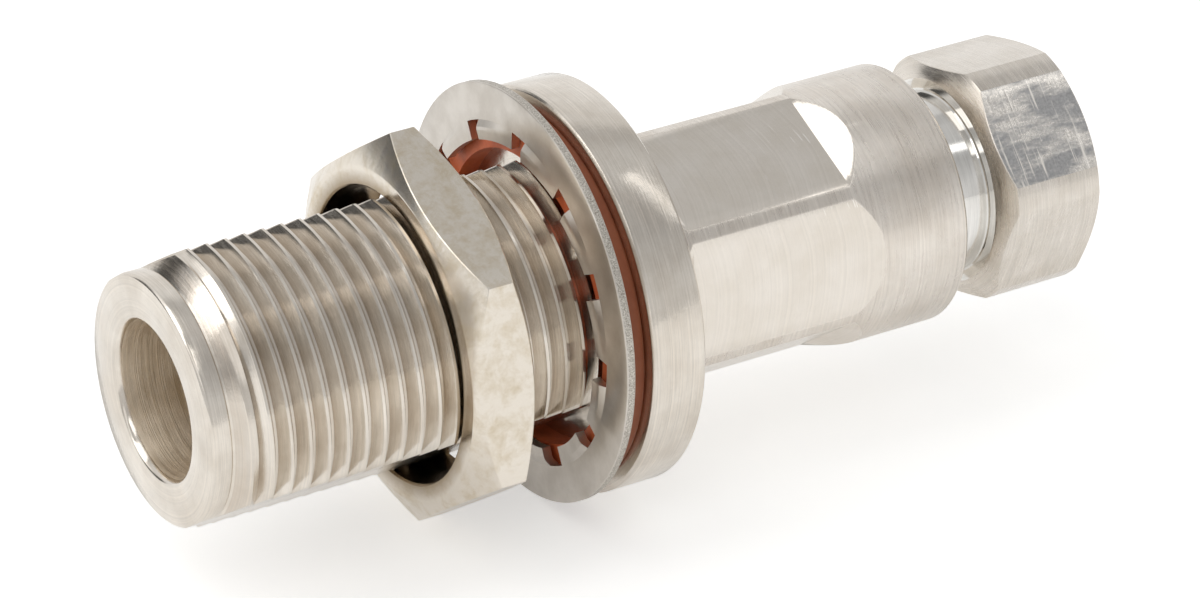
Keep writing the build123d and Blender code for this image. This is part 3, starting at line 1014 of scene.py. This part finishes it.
colour = add(
    tree, "Mix", data_type="RGBA", values={7: shade("f6f1ea")},
    links={0: bright.outputs[0], 6: colour.outputs[0]},
)
shine = add(
    tree, "MapRange", values={"From Min": 0.4, "From Max": 0.6, "To Min": 0.2, "To Max": 0.4},
    links={0: patches.outputs["Fac"]},
)
lay_on(tree, colour.outputs[2], shine.outputs[0], scores.outputs["Fac"], depth_mm=0.01)
clamp_piece.data.materials.append(rubbed)
rubbed_side = at(0, 1000, clamp_clock)
for face in clamp_piece.data.polygons:
    x, off_axis = face_place(face)
    if neck_start - spare < x < clamp_front + spare and off_axis < clamp_front_r - spare:
        face.material_index = 1
    elif face.normal.dot(rubbed_side) > nearly_same_way:
        face.material_index = 2


def dress(names, material):
    """Puts a material on solids that are shown as they are."""
    for name in names:
        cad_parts[name].data.materials.clear()
        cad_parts[name].data.materials.append(material)


# Clamping parts inside: the slotted collet, the thrust washer, the cone ring and the spacer sleeve, turned
# from brass and thinly plated. They hold the cable's outer conductor, and show a warm, finely ringed sheen.
inner_plate = turned_plate(
    "inner_plated_brass", "dfd6c9", "cbbfae", lines_per_mm=12, depth_mm=0.0012, smooth=0.2, rough=0.34
)
dress(("clamping_collet", "thrust_washer", "contact_cone", "spacer_sleeve"), inner_plate)

# Centre contact: spring bronze, turned and then slotted at both ends, held by the two beads. Its thin
# gold plate gives the only yellow glint in the socket.
gold_plate = turned_plate(
    "gold_plated_bronze", "e8c878", "d9b25c", lines_per_mm=14, depth_mm=0.0008, smooth=0.12, rough=0.24
)
dress(("centre_contact",), gold_plate)

# Beads: sliced from white fluoropolymer rod and pressed in around the contact. Waxy and a little
# translucent, so that their edges look soft, with faint saw marks, drawn 0.4 mm wide so that they show.
fluoro, tree, place = new_finish("white_fluoropolymer", metallic=0)
surface = tree.nodes["Principled BSDF"]
surface.inputs["IOR"].default_value = 1.36
surface.inputs["Subsurface Weight"].default_value = 0.25
surface.inputs["Subsurface Scale"].default_value = 0.0012
marks = add(
    tree, "TexNoise", values={"Scale": per_mm(2.6), "Detail": 4, "Roughness": 0.6}, links={"Vector": place}
)
colour = add(
    tree, "Mix", data_type="RGBA", values={6: shade("f1f0ec"), 7: shade("e2e0da")},
    links={0: marks.outputs["Fac"]},
)
shine = add(tree, "MapRange", values={"To Min": 0.35, "To Max": 0.55}, links={0: marks.outputs["Fac"]})
lay_on(tree, colour.outputs[2], shine.outputs[0], marks.outputs["Fac"], depth_mm=0.003)
dress(("front_insulator", "rear_insulator"), fluoro)

# Cable seal: a moulded bush of black nitrile rubber that the clamping nut squeezes onto the cable. Its
# dry skin looks matte. The bumps of 0.2 mm are drawn coarser than the real ones.
nitrile, tree, place = new_finish("black_nitrile_rubber", metallic=0)
bumps = add(
    tree, "TexNoise", values={"Scale": per_mm(5.2), "Detail": 4, "Roughness": 0.6}, links={"Vector": place}
)
colour = add(
    tree, "Mix", data_type="RGBA", values={6: shade("1d1d1d"), 7: shade("2b2a29")},
    links={0: bumps.outputs["Fac"]},
)
shine = add(tree, "MapRange", values={"To Min": 0.55, "To Max": 0.75}, links={0: bumps.outputs["Fac"]})
lay_on(tree, colour.outputs[2], shine.outputs[0], bumps.outputs["Fac"], depth_mm=0.006)
dress(("cable_seal",), nitrile)

# Camera: a long lens, from the photograph's own place above the mating end. It is fitted to the
# thread, in metres.
camera_place = (-0.1218, -0.2083, 0.1294)
view_direction = (0.4537, 0.7547, -0.4741)
camera_data = bpy.data.cameras.new("camera")
camera_data.sensor_width = 36
camera_data.lens = 156.15
camera_data.clip_start = 0.01
camera = bpy.data.objects.new("camera", camera_data)
camera.location = camera_place
camera.rotation_euler = Vector(view_direction).to_track_quat("-Z", "Y").to_euler()
bpy.context.scene.collection.objects.link(camera)
bpy.context.scene.camera = camera

# Floor: white paper just under the flange, which keeps the connector's shadow. It looks near white to
# the camera, and metal that mirrors it sees some of that white too. It adds no light to the object.
floor_level = -0.01115
floor_reach = 4
lift_for_camera = 0.45
lift_in_mirrors = 0.31
floor_mesh = bpy.data.meshes.new("floor")
floor_mesh.from_pydata(
    [(x * floor_reach, y * floor_reach, 0) for x, y in ((-1, -1), (1, -1), (1, 1), (-1, 1))],
    [],
    [(0, 1, 2, 3)],
)
floor = bpy.data.objects.new("floor", floor_mesh)
floor.location.z = floor_level
bpy.context.scene.collection.objects.link(floor)
paper = bpy.data.materials.new("white_paper_sweep")
paper.use_nodes = True
tree = paper.node_tree
diffuse = add(tree, "BsdfDiffuse", values={"Color": shade("ececeb")})
rays = add(tree, "LightPath").outputs
seen = add(tree, "Math", operation="MULTIPLY", values={1: lift_for_camera}, links={0: rays["Is Camera Ray"]})
mirrored = add(
    tree, "Math", operation="MAXIMUM", links={0: rays["Is Glossy Ray"], 1: rays["Is Transmission Ray"]}
)
lift = add(
    tree, "Math", operation="MULTIPLY_ADD", values={1: lift_in_mirrors},
    links={0: mirrored.outputs[0], 2: seen.outputs[0]},
)
glow = add(tree, "Emission", values={"Color": (1, 1, 1, 1)}, links={"Strength": lift.outputs[0]})
both = add(tree, "AddShader", links={0: diffuse.outputs[0], 1: glow.outputs[0]})
tree.links.new(both.outputs[0], tree.nodes["Material Output"].inputs["Surface"])
floor_mesh.materials.append(paper)

# Studio tent: white cloth all around, pure white to the camera. What lights the connector is graded
# about its axis, by the angle from the near side over the top, 90, to the far side, 180. The cloth is
# greyer above the camera and behind the top, so that round metal shows its bands.
near_side_level = 0.74
far_side_level = 1.0
card_level = 0.55
opening_direction = (-0.64, 0.755, 0.14)
tent_levels = (
    (16, 0.70), (32, 0.57), (48, 0.47), (62, 0.50), (80, 0.62),
    (96, 0.62), (106, 0.55), (114, 0.57), (119, 0.78), (150, 0.90),
)
studio = bpy.data.worlds.new("studio")
studio.use_nodes = True
bpy.context.scene.world = studio
tree = studio.node_tree
facing = add(tree, "TexCoord").outputs["Generated"]
parts = add(tree, "SeparateXYZ", links={0: facing}).outputs
toward = add(tree, "Math", operation="MULTIPLY", values={1: -1.0}, links={0: parts["Y"]})
around = add(tree, "Math", operation="ARCTAN2", links={0: parts["Z"], 1: toward.outputs[0]})
share = add(tree, "MapRange", values={"From Min": 0, "From Max": pi}, links={0: around.outputs[0]})
tent = add(tree, "ValToRGB", links={0: share.outputs[0]})
for stop, level in zip(tent.color_ramp.elements, (near_side_level, far_side_level)):
    stop.color = (level, level, level, 1)
for angle, level in tent_levels:
    tent.color_ramp.elements.new(angle / 180).color = (level, level, level, 1)
# A dark opening, behind on the left, darkens the edges that face it.
opening = add(tree, "VectorMath", operation="DOT_PRODUCT", values={1: opening_direction}, links={0: facing})
dim = add(
    tree, "MapRange", values={"From Min": 0.93, "From Max": 0.97, "To Min": 1, "To Max": 0.1},
    links={0: opening.outputs["Value"]},
)
cloth = add(
    tree, "VectorMath", operation="SCALE", links={0: tent.outputs["Color"], "Scale": dim.outputs[0]}
)
# A white card on the left, a third to two thirds of the way up, brightens faces that look that way.
card = add(tree, "Math", operation="MULTIPLY", values={0: 1.0, 1: card_level})
for axis, start, full in (("X", -0.5, -0.6), ("Z", 0.29, 0.36), ("Z", 0.62, 0.55)):
    inside = add(tree, "MapRange", values={"From Min": start, "From Max": full}, links={0: parts[axis]})
    card = add(tree, "Math", operation="MULTIPLY", links={0: card.outputs[0], 1: inside.outputs[0]})
cloth = add(tree, "VectorMath", operation="ADD", links={0: cloth.outputs[0], 1: card.outputs[0]})
rays = add(tree, "LightPath").outputs
wall = add(
    tree, "Mix", data_type="RGBA", values={7: (1, 1, 1, 1)},
    links={0: rays["Is Camera Ray"], 6: cloth.outputs[0]},
)
tree.links.new(wall.outputs[2], tree.nodes["Background"].inputs["Color"])
tree.nodes["Background"].inputs["Strength"].default_value = 1.0


# Lamps: three soft boxes in the tent. A thin strip over the cable end draws a bright line on the collar,
# a square one by the camera lights the near flats, and a large one high on the left gives the shadow
# and the bright chamfers. Places and sizes are in metres.
def softbox(name, place, aim, width, height, watts):
    """A square-edged soft lamp, aimed at a point and hidden from the camera."""
    lamp = bpy.data.lights.new(name, "AREA")
    lamp.shape = "RECTANGLE"
    lamp.size = width
    lamp.size_y = height
    lamp.energy = watts
    lamp_object = bpy.data.objects.new(name, lamp)
    lamp_object.location = place
    lamp_object.rotation_euler = (Vector(aim) - Vector(place)).to_track_quat("-Z", "Y").to_euler()
    lamp_object.visible_camera = False
    bpy.context.scene.collection.objects.link(lamp_object)


softbox("collar_reflector", (0.084, -0.047, 0.106), (0.021, 0, 0), width=0.014, height=0.085, watts=0.0042)
softbox("front_softbox", (-0.155, -0.255, 0.40), (0, 0, 0), width=0.2, height=0.2, watts=0.19)
softbox("left_softbox", (-0.30, 0.09, 0.385), (0, 0, 0), width=0.24, height=0.60, watts=0.60)

bpy.context.scene.view_settings.view_transform = "Standard"
